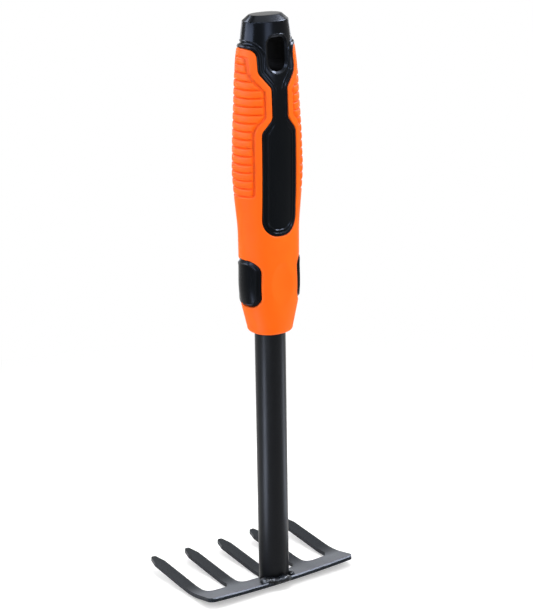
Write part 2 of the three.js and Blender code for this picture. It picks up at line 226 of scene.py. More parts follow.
noiseSpan = (0.3, 0.7)                    # noise seldom leaves this span
mixFirst, mixSecond, mixResult = 6, 7, 2  # the colour sockets of a mix node


# Every surface is built alike. Its noise waves have a size in millimetres, a detail and a stretch
# along the handle; one steers the colour, one the gloss, and some stand up as bumps of a height.
def makeSurface(name, look):
    material, tree = newMaterial(name)
    place = addNode(tree, "ShaderNodeTexCoord").outputs["Object"]
    waves, bump = {}, {}
    for key, (size, detail, stretch) in look["waves"].items():
        stretched = addNode(tree, "ShaderNodeMapping", {"Vector": place, "Scale": (1, 1, stretch)})
        waves[key] = addNode(tree, "ShaderNodeTexNoise", {
            "Vector": stretched, "Scale": 1 / (size * mm), "Detail": detail})
    for key, height in look["bumps"].items():
        bump = {"Normal": addNode(tree, "ShaderNodeBump", {
            "Height": waves[key], "Distance": height * mm, **bump})}
    wave, *span = look["colourBy"]
    share = addNode(tree, "ShaderNodeMapRange", [waves[wave], *span])
    colour = addNode(tree, "ShaderNodeMix", {
        0: share, mixFirst: linearColour(look["dark"]), mixSecond: linearColour(look["light"])},
        data_type="RGBA")
    gloss = [waves[look["glossBy"]], *noiseSpan, *look["roughness"]]
    roughness = addNode(tree, "ShaderNodeMapRange", gloss)
    fixed = {key: linearColour(value) if isinstance(value, str) else value
             for key, value in look["fixed"].items()}
    shader = addNode(tree, "ShaderNodeBsdfPrincipled", {
        "Base Color": colour.outputs[mixResult], "Roughness": roughness, **bump, **fixed})
    addNode(tree, "ShaderNodeOutputMaterial", [shader])
    return material


# Powder-coated steel, sprayed and baked polyester: a satin black skin with a fine orange peel, so
# that reflections are soft and slightly broken. Real specks are 0.1 mm, drawn coarser so that they
# show.
coatLook = {
    "waves": {"cloud": (14, 3.0, 1), "peel": (1.3, 2.0, 1), "speck": (0.55, 2.0, 1)},
    "bumps": {"peel": 0.016, "speck": 0.009}, "colourBy": ("speck", 0.35, 0.65), "glossBy": "cloud",
    "fixed": {"IOR": 1.5, "Specular IOR Level": 0.13, "Specular Tint": "#eef2fb"},
}
# Both parts carry one black paint. The head's copy is drawn lighter and bluer than the tube's, which is
# painted reflection of the bright surroundings on its upturned faces.
headCoatPaintedReflection = makeSurface("powderCoatedSheetSteel", {
    **coatLook, "dark": "#07090c", "light": "#1a1f26", "roughness": (0.28, 0.36)})
tubeCoat = makeSurface("powderCoatedTubeSteel", {
    **coatLook, "dark": "#040506", "light": "#090a0c", "roughness": (0.32, 0.38)})

# Mild-steel weld metal, arc laid and thinly coated: darker and glossier than the sheet round it,
# with frozen ripples that catch small sharp highlights.
beadMetal = makeSurface("mildSteelWeldMetal", {
    "waves": {"ripple": (1.4, 3.0, 1), "cloud": (2.6, 2.0, 1)}, "bumps": {"ripple": 0.05},
    "colourBy": ("cloud", 0.4, 0.62), "dark": "#06080b", "light": "#20252c",
    "glossBy": "ripple", "roughness": (0.22, 0.32),
    "fixed": {"Metallic": 0.05, "Specular IOR Level": 0.16},
})

# Moulded polypropylene, injected against a polished tool: a deep black with clear but soft
# reflections and faint flow clouds in its gloss. Walls left by a core pin are dull; the slot's walls
# are also drawn near black with almost no reflection, which is painted shade for the dark slot.
plasticLook = {
    "waves": {"flow": (18, 3.0, 0.4), "skin": (0.7, 2.0, 1)}, "bumps": {"skin": 0.003},
    "colourBy": ("flow", 0, 1), "dark": "#030404", "light": "#070808",
    "glossBy": "flow", "roughness": (0.22, 0.28),
    "fixed": {"IOR": 1.49, "Specular IOR Level": 0.08, "Specular Tint": "#c9d7f2"},
}
blackPlastic = makeSurface("mouldedBlackPolypropylene", plasticLook)
# the slot walls' plastic: dull, and near black with almost no reflection as painted shade
slotWallPlasticPaintedShade = makeSurface("coredPolypropylenePaintedShade", {
    **plasticLook, "dark": "#010101", "light": "#020202", "roughness": (0.6, 0.7),
    "fixed": {**plasticLook["fixed"], "Specular IOR Level": 0.01}})

# Thermoplastic rubber, moulded over the core against a spark-eroded tool: a matt, evenly saturated
# orange with a very fine grain. The real grain is 0.2 mm and is drawn coarser so that it shows.
orangeRubber = makeSurface("mouldedOrangeRubber", {
    "waves": {"cloud": (9, 3.0, 1), "grain": (0.6, 3.0, 1)}, "bumps": {"grain": 0.010},
    "colourBy": ("cloud", 0, 1), "dark": "#f86101", "light": "#fb6803",
    "glossBy": "grain", "roughness": (0.50, 0.58),
    "fixed": {"IOR": 1.5, "Specular IOR Level": 0.08, "Sheen Weight": 0.02, "Sheen Tint": "#ffe0a0"},
})
# the groove colour is painted shade: a deeper orange where the ribs' grooves are shaded
paintedGrooveShade = {"colour": "#f85e00", "span": (0.2, 1.0), "most": 0.8}


# deepens a material's colour in the grooves between the ribs: painted shade where the grooves lie in
# shadow
def paintGrooveShade(material, tint):
    tree = material.node_tree
    base = next(n for n in tree.nodes if n.type == "BSDF_PRINCIPLED").inputs["Base Color"]
    recess = addNode(tree, "ShaderNodeAttribute", attribute_name="recess").outputs["Fac"]
    held = addNode(tree, "ShaderNodeMapRange", [recess, *tint["span"], 0.0, tint["most"]])
    grooved = addNode(tree, "ShaderNodeMix", {
        0: held, mixFirst: base.links[0].from_socket, mixSecond: linearColour(tint["colour"])},
        data_type="RGBA")
    tree.links.new(grooved.outputs[mixResult], base)


paintGrooveShade(orangeRubber, paintedGrooveShade)
print("materials ready")


# trees of geometry nodes

# an empty tree for a shape: geometry, named numbers and a material go in, geometry comes out
def newShapeTree(name, numbers):
    tree = bpy.data.node_groups.new(name, "GeometryNodeTree")
    kinds = {"Geometry": "Geometry", **dict.fromkeys(numbers, "Float"), "Material": "Material"}
    for key, kind in kinds.items():
        tree.interface.new_socket(key, in_out="INPUT", socket_type="NodeSocket" + kind)
    tree.interface.new_socket("Geometry", in_out="OUTPUT", socket_type="NodeSocketGeometry")
    return tree, addNode(tree, "NodeGroupInput").outputs


# ends a tree with real geometry in the given material
def finishShape(tree, shape, given):
    real = addNode(tree, "GeometryNodeRealizeInstances", [shape])
    dressed = addNode(tree, "GeometryNodeSetMaterial", {
        "Geometry": real, "Material": given["Material"]})
    addNode(tree, "NodeGroupOutput", [dressed])
    return tree


# runs a tree on a piece with named inputs, and keeps the result as a plain mesh
def applyTree(piece, tree, values):
    modifier = piece.modifiers.new(tree.name, "NODES")
    modifier.node_group = tree
    for item in tree.interface.items_tree:
        if item.in_out == "INPUT" and item.name in values:
            modifier[item.identifier] = values[item.name]
    bakeModifiers(piece)


# rake head: one blanked and bent sheet

headSizes = {
    "sheet": 2.2, "tineCount": 5, "tinePitch": 21.6, "tineWidth": 6.7, "tineTipWidth": 6.3,
    "tineLength": 48.0, "pointLength": 7.0, "pointWidth": 2.8, "pointRadius": 1.1,
    "shoulderRadius": 2.5, "barFront": 9.2, "barBack": 4.5, "cornerRadius": 3.2, "rootRadius": 4.5,
    "frontBevel": 0.6, "edgeRadius": 0.35, "bendStart": 2.5, "bendLength": 14.0,
    "barRise": 10.3, "tineRise": 6.3,     # degrees
    "endRise": 1.35,                      # the ends of the bar lie this much over its middle
    "rolledFrom": 35, "sharpFrom": 60, "arcStep": 7.5,   # degrees
    "edgeSegments": 3,
    # lines of edges across the flat blank, along which it can bend
    "scoreFront": 8.0, "scorePast": 1.5, "scoreStep": 0.9, "sideScores": 15, "sideStep": 3.0,
    "merge": 1e-5,
}


# height of the sheet's top face and its slope at a distance behind the tube's axis
def sheetHeight(y, sizes=headSizes):
    barSlope = math.tan(math.radians(sizes["barRise"]))
    turn = barSlope + math.tan(math.radians(sizes["tineRise"]))
    past = max(0.0, y - sizes["bendStart"])
    inBend = min(past, sizes["bendLength"])
    height = turn * inBend**2 / (2 * sizes["bendLength"]) + turn * (past - inBend) - barSlope * y
    return height, turn * inBend / sizes["bendLength"] - barSlope


def headHalfWidth(sizes=headSizes):
    return ((sizes["tineCount"] - 1) * sizes["tinePitch"] + sizes["tineWidth"]) / 2


def plateLift(x, sizes=headSizes):
    return sizes["endRise"] * (x / headHalfWidth(sizes)) ** 2


# the blank seen from above: bar, tines with blunt points, rounded gap roots
def headPlan(sizes):
    half, front, back = headHalfWidth(sizes), sizes["barFront"], sizes["barBack"]
    tip = back + sizes["tineLength"]
    pointStart = tip - sizes["pointLength"]
    corners = [(-half, -front, sizes["cornerRadius"]), (half, -front, sizes["cornerRadius"])]
    side = [(sizes["tineWidth"] / 2, back, sizes["rootRadius"]),
            (sizes["tineTipWidth"] / 2, pointStart, sizes["shoulderRadius"]),
            (sizes["pointWidth"] / 2, tip, sizes["pointRadius"])]
    reach = (sizes["tineCount"] - 1) // 2
    for tine in range(reach, -reach - 1, -1):
        x = tine * sizes["tinePitch"]
        # the outer sides of the outermost tines run straight down into the bar
        corners += [(x + out, y, radius) for out, y, radius in side[int(tine == reach):]]
        corners += [(x - out, y, radius) for out, y, radius in side[int(tine == -reach):][::-1]]
    return corners


# cuts a line of edges across a flat blank, so that it can bend there
def scoreBlank(blank, place, direction, **options):
    everything = blank.verts[:] + blank.edges[:] + blank.faces[:]
    bmesh.ops.bisect_plane(blank, geom=everything, dist=headSizes["merge"], plane_co=place,
                           plane_no=direction, **options)


# bmesh gives corners and faces in an order that varies by run, so they are sorted by place here;
# a face with more than four corners starts at the first of them, which settles its diagonals
def sortedParts(blank):
    corners = sorted(blank.verts, key=lambda corner: corner.co[:])
    rank = {corner: index for index, corner in enumerate(corners)}
    faces = []
    for face in blank.faces:
        ring = [rank[corner] for corner in face.verts]
        first = ring.index(min(ring)) if len(ring) > 4 else 0
        faces.append(ring[first:] + ring[:first])
    return [corner.co[:] for corner in corners], sorted(faces)


def makeHead(sizes):
    blank = bmesh.new()
    outline = roundedOutline(headPlan(sizes), sizes["arcStep"])
    top = blank.faces.new([blank.verts.new((x, y, 0)) for x, y in outline])
    bottom = bmesh.ops.extrude_face_region(blank, geom=[top])
    for vertex in [v for v in bottom["geom"] if isinstance(v, bmesh.types.BMVert)]:
        vertex.co.z = -sizes["sheet"]
    bmesh.ops.recalc_face_normals(blank, faces=blank.faces)
    scoreBlank(blank, (0, -sizes["barFront"], -sizes["frontBevel"]), (0, -1, 1), clear_outer=True)
    bmesh.ops.holes_fill(blank, edges=[e for e in blank.edges if e.is_boundary])
    bmesh.ops.recalc_face_normals(blank, faces=blank.faces)
    sharp = [e for e in blank.edges if e.calc_face_angle(0) > math.radians(sizes["rolledFrom"])]
    bmesh.ops.bevel(blank, geom=sharp, offset=sizes["edgeRadius"], offset_type="OFFSET", profile=0.5,
                    segments=sizes["edgeSegments"], affect="EDGES", clamp_overlap=True)
    bendEnd = sizes["bendStart"] + sizes["bendLength"]
    for y in np.arange(-sizes["scoreFront"], bendEnd + sizes["scorePast"], sizes["scoreStep"]):
        scoreBlank(blank, (0, y, 0), (0, 1, 0))
    for x in np.arange(-sizes["sideScores"], sizes["sideScores"] + 1) * sizes["sideStep"]:
        scoreBlank(blank, (x, 0, 0), (1, 0, 0))
    for vertex in blank.verts:
        x, y, depth = vertex.co
        height, slope = sheetHeight(y, sizes)
        normal = Vector((-slope, 1)).normalized()
        vertex.co = (x, y + normal.x * depth, height + normal.y * depth + plateLift(x, sizes))
        vertex.co = Vector(inMetres([vertex.co])[0])
    head = makeObject("rakeHeadSheet", *sortedParts(blank), headCoatPaintedReflection)
    blank.free()
    smoothFaces(head, sizes["sharpFrom"])
    head.modifiers.new("even normals", "WEIGHTED_NORMAL").keep_sharp = True
    return bakeModifiers(head)


handOver(makeHead(headSizes), "rake_head")


# shaft tube: coped to the sheet below, squeezed flat in the grip above

tubeSizes = {
    "radius": 8.0, "wall": 1.2, "sides": 112, "top": 240.0, "flatLength": 9.0, "flareLength": 22.0,
    "flatHalfWidth": 11.28, "flatHalfDepth": 1.7, "mouthRadius": 0.25, "mouthShare": 0.3,
    # rows of the mesh: down the squeezed end outside and up it inside, along the tube, at the foot
    "outerStep": 3, "outerLength": 33, "innerStep": 4, "innerLength": 31,
    "rows": (150, 100, 50, 20), "footRow": 4, "sharpFrom": 50,
}


def makeTube(sizes):
    turns = np.arange(sizes["sides"]) * 2 * math.pi / sizes["sides"]

    def ring(inset, height, followSheet):
        part = smoothStep(-sizes["flareLength"], 0, height - (sizes["top"] - sizes["flatLength"]))
        halfWidth = sizes["radius"] + (sizes["flatHalfWidth"] - sizes["radius"]) * part - inset
        halfDepth = sizes["radius"] + (sizes["flatHalfDepth"] - sizes["radius"]) * part - inset
        x, y = halfWidth * np.cos(turns), halfDepth * np.sin(turns)
        foot = np.array([sheetHeight(b)[0] + plateLift(a) for a, b in zip(x, y)])
        return np.column_stack([x, y, height + (foot if followSheet else 0 * foot)])

    mouth, wall, top, step = (sizes[k] for k in ("mouthRadius", "wall", "top", "outerStep"))
    rounded, low, rows = mouth * sizes["mouthShare"], sizes["footRow"], sizes["rows"]
    outside = [top, *np.arange(top - step, top - sizes["outerLength"], -step), *rows]
    inside = [*rows[::-1], *np.arange(top - sizes["innerLength"], top - step, sizes["innerStep"])]
    profile = [(0, h, False) for h in outside]
    profile += [(0, low, True), (0, mouth, True), (rounded, rounded, True), (mouth, 0, True)]
    profile += [(wall - mouth, 0, True), (wall, mouth, True), (wall, low, True)]
    profile += [(wall, h, False) for h in inside]
    rings = [ring(*row) for row in profile]
    sides, count = sizes["sides"], len(rings)
    faces = []
    for r in range(count - 1):
        for s in range(sides):
            n = (s + 1) % sides
            faces.append((r * sides + s, (r + 1) * sides + s, (r + 1) * sides + n, r * sides + n))
    faces.append(tuple(range(sides)))
    faces.append(tuple(reversed(range((count - 1) * sides, count * sides))))
    tube = makeObject("coatedShaftTube", inMetres(np.vstack(rings)), faces, tubeCoat)
    smoothFaces(tube, sizes["sharpFrom"])
    return tube


handOver(makeTube(tubeSizes), "shaft_tube")


# weld beads: each follows its own path on the sheet round the tube's foot

weldSizes = {
    "pathRadius": 9.4, "halfWidth": 2.6, "halfHeight": 1.8, "lift": 0.2,
    "ripple": 0.07, "rippleLength": 3.6, "unevenness": 2.2, "lump": 4.2, "taper": 0.42,
    "fullness": 0.4, "pathPoints": 24, "rings": 56, "sides": 24, "merge": 0.001, "sharpFrom": 60,
    # middle and span in degrees seen from above, extra reach outwards, width share, seed
    "beads": {
        "front_left": (215, 42, 1.0, 1.15, 3), "front": (243, 30, 0.4, 0.85, 8),
        "front_right": (270, 40, 0.3, 1.05, 5), "right": (331, 44, -0.4, 0.95, 13),
        "back": (90, 40, -0.6, 1.0, 21),
    },
}


# a bead along a path: thick in the middle, thin at both ends, a ripple for every pause of the torch
def beadTree(sizes):
    tree, given = newShapeTree("weldBead", (
        "Half Width", "Half Height", "Ripple", "Ripple Count", "Taper", "Lump", "Unevenness", "Seed"))
    path = addNode(tree, "GeometryNodeMeshToCurve", {"Mesh": given["Geometry"]})
    fine = addNode(tree, "GeometryNodeResampleCurve", {"Curve": path, "Count": sizes["rings"]})
    upright = addNode(tree, "GeometryNodeSetCurveNormal", {"Curve": fine}, mode="Z_UP")
    along = addNode(tree, "GeometryNodeSplineParameter").outputs["Factor"]
    turned = addNode(tree, "ShaderNodeMath", [along, math.pi], operation="MULTIPLY")
    sine = addNode(tree, "ShaderNodeMath", [turned], operation="SINE")
    arch = addNode(tree, "ShaderNodeMath", [sine, sizes["fullness"]], operation="POWER", use_clamp=True)
    ends = addNode(tree, "ShaderNodeMapRange", [arch, 0.0, 1.0, given["Taper"], 1.0])
    rippled = addNode(tree, "ShaderNodeMath", [turned, given["Ripple Count"]], operation="MULTIPLY")
    wave = addNode(tree, "ShaderNodeMath", [rippled], operation="SINE")
    bump = addNode(tree, "ShaderNodeMath", [wave], operation="ABSOLUTE")
    trough = addNode(tree, "ShaderNodeMath", [1.0, given["Ripple"]], operation="SUBTRACT")
    ripple = addNode(tree, "ShaderNodeMapRange", [bump, 0.0, 1.0, trough, 1.0])
    radius = addNode(tree, "ShaderNodeMath", [ends, ripple], operation="MULTIPLY")
    sized = addNode(tree, "GeometryNodeSetCurveRadius", {"Curve": upright, "Radius": radius})
    circle = addNode(tree, "GeometryNodeCurvePrimitiveCircle", {
        "Resolution": sizes["sides"], "Radius": 1.0})
    flatten = addNode(tree, "ShaderNodeCombineXYZ", [given["Half Width"], given["Half Height"], 1.0])
    section = addNode(tree, "GeometryNodeTransform", {"Geometry": circle, "Scale": flatten})
    solid = addNode(tree, "GeometryNodeCurveToMesh", {
        "Curve": sized, "Profile Curve": section, "Scale": addNode(tree, "GeometryNodeInputRadius"),
        "Fill Caps": True})
    place = addNode(tree, "GeometryNodeInputPosition")
    grain = addNode(tree, "ShaderNodeMath", [1.0, given["Lump"]], operation="DIVIDE")
    noise = addNode(tree, "ShaderNodeTexNoise", {
        "Vector": place, "W": given["Seed"], "Scale": grain, "Detail": 2.0}, noise_dimensions="4D")
    centred = addNode(tree, "ShaderNodeMath", [noise, 0.5], operation="SUBTRACT")
    amount = addNode(tree, "ShaderNodeMath", [centred, given["Unevenness"]], operation="MULTIPLY")
    push = addNode(tree, "ShaderNodeVectorMath", {
        0: addNode(tree, "GeometryNodeInputNormal"), "Scale": amount}, operation="SCALE")
    lumpy = addNode(tree, "GeometryNodeSetPosition", {"Geometry": solid, "Offset": push})
    return finishShape(tree, lumpy, given)


def makeBead(key, tree, sizes):
    middle, span, reach, share, seed = sizes["beads"][key]
    radius, count = sizes["pathRadius"] + reach, sizes["pathPoints"]
    places = []
    for turn in np.radians(np.linspace(middle - span / 2, middle + span / 2, count)):
        x, y = radius * math.cos(turn), radius * math.sin(turn)
        places.append((x, y, sheetHeight(y)[0] + plateLift(x) + sizes["lift"]))
    bead = makeObject("weldBead_" + key, inMetres(places), [], beadMetal)
    bead.data.edges.add(count - 1)
    bead.data.edges.foreach_set("vertices", [i + s for i in range(count - 1) for s in (0, 1)])
    bead.data.update()
    length = math.radians(span) * radius
    applyTree(bead, tree, {
        "Half Width": sizes["halfWidth"] * share * mm, "Half Height": sizes["halfHeight"] * share * mm,
        "Ripple": sizes["ripple"], "Ripple Count": max(1.0, round(length / sizes["rippleLength"])),
        "Taper": sizes["taper"], "Lump": sizes["lump"] * mm, "Unevenness": sizes["unevenness"] * mm,
        "Seed": float(seed), "Material": beadMetal})
    shell = bmesh.new()
    shell.from_mesh(bead.data)
    bmesh.ops.remove_doubles(shell, verts=shell.verts, dist=sizes["merge"] * mm)
    bmesh.ops.recalc_face_normals(shell, faces=shell.faces)
    shell.to_mesh(bead.data)
    shell.free()
    smoothFaces(bead, sizes["sharpFrom"])
    return bead


beadNodes = beadTree(weldSizes)
for key in weldSizes["beads"]:
    handOver(makeBead(key, beadNodes, weldSizes), "weld_" + key)


# grip: the outer form that core and overmould share

gripSizes = {
    "bottom": 138.2, "length": 147.1, "width": 39.2, "depth": 25.2, "squareness": 2.2,
    "windowMiddle": 165.8, "windowHalfHeight": 12.2, "windowHalfDepth": 9.1,
    "windowRadius": 5.8, "slotHalfWidth": 6.0, "slotHalfHeight": 8.4, "slotTopRadius": 3.6,
    "slotBottomRadius": 5.4,
    # height, half width and half depth as shares of length, width and depth
    "stations": [
        (0.016, 0.297, 0.44), (0.036, 0.316, 0.456), (0.071, 0.351, 0.474), (0.108, 0.389, 0.485),
        (0.148, 0.41, 0.488), (0.25, 0.417, 0.476), (0.31, 0.422, 0.467), (0.387, 0.432, 0.461),
        (0.43, 0.449, 0.467), (0.5, 0.477, 0.48), (0.573, 0.5, 0.489), (0.64, 0.491, 0.496),
        (0.7, 0.481, 0.5), (0.76, 0.467, 0.5), (0.815, 0.452, 0.494), (0.884, 0.441, 0.476),
        (0.952, 0.425, 0.437), (1.0, 0.398, 0.409), (1.02, 0.388, 0.402)],
    # the core's face from the front, bottom to top: half width, height, corner radius
    "face": [
        (10.2, 190.57, 9.0), (10.2, 243.96, 5.0), (4.6, 250.4, 4.5), (4.6, 265.9, 4.5),
        (10.9, 273.6, 5.0), (10.9, 284.9, 5.0)],
    "faceRim": (15.6, 286.0),             # where the face's outline passes over the sides
    "farAside": 60.0, "farAbove": 400.0,  # the face's outline closes out there
    "overTop": 2,                         # the outer form runs on this far over the overmould
}
gripTop = gripSizes["bottom"] + gripSizes["length"]


def gripHalves(heights, sizes=gripSizes):
    table = [(sizes["bottom"] + h * sizes["length"], w * sizes["width"], d * sizes["depth"])
             for h, w, d in sizes["stations"]]
    halves = readStations(table, heights)
    return halves[:, 0], halves[:, 1]


def faceOutline(sizes=gripSizes):
    (shoulder, foot, _), (side, rim) = sizes["face"][-1], sizes["faceRim"]
    far = sizes["farAside"]
    over = foot + (rim - foot) * (far - shoulder) / (side - shoulder)
    right = list(sizes["face"]) + [(far, over, 0), (far, sizes["farAbove"], 0)]
    return roundedOutline(right + [(-x, z, r) for x, z, r in reversed(right)])


# an upright opening with its own corner radius below and above
def openingOutline(half, middle, halfHeight, below, above):
    low, high = middle - halfHeight, middle + halfHeight
    return roundedOutline([(-half, low, below), (half, low, below), (half, high, above),
                           (-half, high, above)])


def windowOutline(sizes=gripSizes):
    return openingOutline(sizes["windowHalfDepth"], sizes["windowMiddle"], sizes["windowHalfHeight"],
                          sizes["windowRadius"], sizes["windowRadius"])


def slotOutline(sizes=gripSizes):
    return openingOutline(sizes["slotHalfWidth"], slotHeight, sizes["slotHalfHeight"],
                          sizes["slotBottomRadius"], sizes["slotTopRadius"])


def signedPower(value, power):
    return np.sign(value) * np.abs(value) ** power


# a point of the skin for turn angles and heights, given the half sizes there
def skinPoint(turn, height, halves, sizes=gripSizes):
    reach = 2 / sizes["squareness"]
    halfWidth, halfDepth = halves(height)
    return (halfWidth * signedPower(np.cos(turn), reach),
            halfDepth * signedPower(np.sin(turn), reach))


# handle core: hard black moulding with cap, panel and side windows

coreSizes = {
    "columns": 64, "step": 0.9, "bottom": 149.0, "hidden": 2.35, "wall": 0.42,
    "flare": 0.6, "flareWidth": 0.9, "flareRise": (284.6, 286.9),
    "flangeDepth": 0.25, "flangeWidth": 1.25,
    "edgeRound": 0.45, "edgeDrop": 0.18,
    "stepWidth": 0.42, "panelDepth": 0.75,
    "beadAt": 2.9, "beadHalfWidth": 0.52, "beadHeight": 0.38,
    "neckLow": (240.0, 249.0), "neckHigh": (263.0, 271.0),   # the bead fades out in the neck
    "windowBevel": 1.3, "windowProud": 0.15, "windowDrop": 0.9,
    "slotBevel": 1.0, "slotDrop": 0.75, "softness": 0.05,
    # thin raised rims round the windows and the slot, their middle that share outside the bevel
    "rimHeight": 0.24, "rimHalfWidth": 0.42, "rimShare": 0.6,
    "capHeight": 15.7, "capChamfer": 2.9, "capRidgeRadius": 0.8, "capTopRadius": 0.6,
    "capArcStep": 9,                      # degrees
    "capWall": 4, "capReach": 7.0,        # wall below the ridge, and flat top, in the cap's path
    # heights over the overmould: where the body turns into the cap, and the last with its own facing
    "capBlend": (-22, -6), "capFacing": 10,
    "rowGap": 0.1, "probeTurn": 2e-3, "probeRise": 0.02, "seenSide": 0.04,
    # cap body: height over the overmould's top edge, half width, half depth
    "capBody": [(-22.0, 16.6, 11.3), (-9.0, 15.0, 10.4), (0.0, 13.72, 9.9), (3.77, 13.48, 9.73),
                (5.97, 13.21, 9.58), (9.42, 12.78, 9.27), (12.8, 12.27, 8.95), (15.7, 11.9, 8.6)],
    # lines that the mesh has edges along: distance inside the face, inside a window, from the slot
    "faceLines": (-0.42, -0.2, 0.0, 0.12, 0.28, 0.45, 0.9, 1.25, 1.34, 1.43, 1.52, 1.6, 1.67, 2.0,
                  2.38, 2.52, 2.66, 2.8, 2.9, 3.0, 3.14, 3.28, 3.42, 3.8),
    "windowLines": (-0.42, -0.2, 0.0, 0.45, 0.9, 1.13, 1.27, 1.4, 1.53, 1.66, 1.8, 1.97, 2.4),
    "slotLines": (0.35, 0.7, 0.83, 0.97, 1.1, 1.23, 1.36, 1.5, 1.67, 2.1),
}


# half sizes of the body inside the flange: the outer form below, the cap above
def coreHalves(heights, sizes=coreSizes):
    halves = gripHalves(np.minimum(heights, gripTop))
    table = [(gripTop + h, w, d) for h, w, d in sizes["capBody"]]
    start, full = (gripTop + h for h in sizes["capBlend"])
    cap = readStations(table, np.clip(heights, start, gripTop + sizes["capHeight"]))
    blend = smoothStep(start, full, heights)
    return [(half - sizes["panelDepth"]) * (1 - blend) + cap[:, i] * blend
            for i, half in enumerate(halves)]


def outerHalves(heights):
    return gripHalves(np.minimum(heights, gripTop + gripSizes["overTop"]))


# heights and insets along the cap's side view: up the wall, over the chamfer, in on the flat top
def capPath(sizes=coreSizes):
    top = gripTop + sizes["capHeight"]
    ridge, reach = top - sizes["capChamfer"], sizes["capReach"]
    low = ridge - sizes["capWall"]
    corners = [(0.0, low, 0), (0.0, ridge, sizes["capRidgeRadius"]),
               (sizes["capChamfer"], top, sizes["capTopRadius"]), (reach, top, 0), (reach, low, 0)]
    curve = roundedOutline(corners, sizes["capArcStep"])[:-1, ::-1]
    steps = np.hypot(*np.diff(curve, axis=0).T)
    return low + np.concatenate([[0], np.cumsum(steps)]), curve


capRises, capCurve = capPath()


# height and inset for each rise, which runs on over the cap's chamfer
def heightAndInset(rise):
    height = np.interp(rise, capRises, capCurve[:, 0])
    return np.where(rise < capRises[0], rise, height), np.interp(rise, capRises, capCurve[:, 1])


# distances inside the face and a window, and from the slot
def lineFields(turn, rise):
    height, _ = heightAndInset(rise)
    x, y = skinPoint(turn, height, outerHalves)
    front, side = np.column_stack([x, height]), np.column_stack([y, height])
    return {"face": -outlineDistance(front, faceOutline()),
            "window": -outlineDistance(side, windowOutline()),
            "slot": outlineDistance(front, slotOutline())}


# triangles of half a skin, from one side round the front to the other
def halfSkin(rises, columns):
    turn, rise = (a.ravel() for a in np.meshgrid(np.linspace(-math.pi, 0, columns + 1), rises))
    first = (np.arange(len(rises) - 1)[:, None] * (columns + 1) + np.arange(columns)).ravel()
    over = first + columns + 1
    triangles = np.vstack([np.column_stack([first, first + 1, over + 1]),
                           np.column_stack([first, over + 1, over])])
    return {"turn": turn, "rise": rise, "triangles": triangles, "fields": lineFields(turn, rise)}


# splits a skin's triangles where a field passes a level, so that the mesh has an edge there
def splitAlong(skin, field, level, tolerance=0.012, rounds=3):
    near = np.abs(skin["fields"][field] - level) < tolerance
    skin["fields"][field][near] = level
    value = skin["fields"][field] - level
    side = np.sign(value)
    triangles = skin["triangles"]
    corner = side[triangles]
    crossed = (corner.min(axis=1) < 0) & (corner.max(axis=1) > 0)
    cut = triangles[crossed]
    pairs = np.vstack([cut[:, [0, 1]], cut[:, [1, 2]], cut[:, [2, 0]]])
    pairs = np.unique(np.sort(pairs[side[pairs[:, 0]] * side[pairs[:, 1]] < 0], axis=1), axis=0)
    if len(pairs) == 0:
        return
    first, second = pairs[:, 0], pairs[:, 1]
    low, high = np.zeros(len(pairs)), np.ones(len(pairs))
    lowValue, highValue = value[first].copy(), value[second].copy()
    for _ in range(rounds):
        share = low + (high - low) * lowValue / (lowValue - highValue)
        turn = skin["turn"][first] * (1 - share) + skin["turn"][second] * share
        rise = skin["rise"][first] * (1 - share) + skin["rise"][second] * share
        fields = lineFields(turn, rise)
        middle = fields[field] - level
        same = middle * lowValue > 0
        low, lowValue = np.where(same, share, low), np.where(same, middle, lowValue)
        high, highValue = np.where(same, high, share), np.where(same, highValue, middle)
    start = len(skin["turn"])
    between = {pair: start + i for i, (a, b) in enumerate(pairs.tolist()) for pair in ((a, b), (b, a))}
    pieces = []
    for corners in cut.tolist():
        signs = [side[c] for c in corners]
        k = signs.index(-sum(signs))      # the corner on the line, or alone on its side of it
        a, b, c = corners[k:] + corners[:k]
        if signs[k] == 0:
            pieces += [(a, b, between[b, c]), (a, between[b, c], c)]
        else:
            m, n = between[a, b], between[a, c]
            pieces += [(a, m, n), (m, b, n), (b, c, n)]
    skin["triangles"] = np.vstack([triangles[~crossed], pieces])
    skin["turn"] = np.concatenate([skin["turn"], turn])
    skin["rise"] = np.concatenate([skin["rise"], rise])
    for name in fields:
        skin["fields"][name] = np.concatenate([skin["fields"][name], fields[name]])
    skin["fields"][field][start:] = level


# a half's values, followed by those of its mirror image
def withMirror(values, onSide):
    return np.concatenate([values, values[~onSide] * ((1, -1, 1) if values.ndim == 2 else 1)])


# mirrors a half skin to the back, and joins front and back by walls where the slot opens them
def joinHalves(skin, points, slotLine):
    onSide = (np.abs(skin["turn"]) < tiny) | (np.abs(skin["turn"] + math.pi) < tiny)
    points[onSide, 1] = 0
    count = len(points)
    back = np.where(onSide, np.arange(count), count + np.cumsum(~onSide) - 1)
    fromSlot = skin["fields"]["slot"]
    front = skin["triangles"][fromSlot[skin["triangles"]].mean(axis=1) > slotLine]
    edges = np.vstack([front[:, [0, 1]], front[:, [1, 2]], front[:, [2, 0]]])
    onLine = {tuple(e) for e in edges[(fromSlot[edges] == slotLine).all(axis=1)].tolist()}
    walls = [(b, a, int(back[a]), int(back[b])) for a, b in onLine if (b, a) not in onLine]
    faces = front.tolist() + back[front][:, ::-1].tolist()
    return withMirror(points, onSide), faces, walls, back, onSide


# closes an open end of a joined skin along a row of the half, out in front and home behind
def endFace(row, back, upwards):
    around = [int(v) for v in row] + [int(back[v]) for v in reversed(row) if back[v] != v]
    return around if upwards else around[::-1]


# bends from a slope to nothing with a small rounding
def softRamp(value, softness):
    return (value + np.sqrt(value**2 + 4 * softness**2)) / 2


# a rounded bump of height 1 along one distance of a line
def roundBump(distance, middle, halfWidth):
    share = np.clip((distance - middle) / halfWidth, -1, 1)
    return 0.5 + 0.5 * np.cos(math.pi * share)


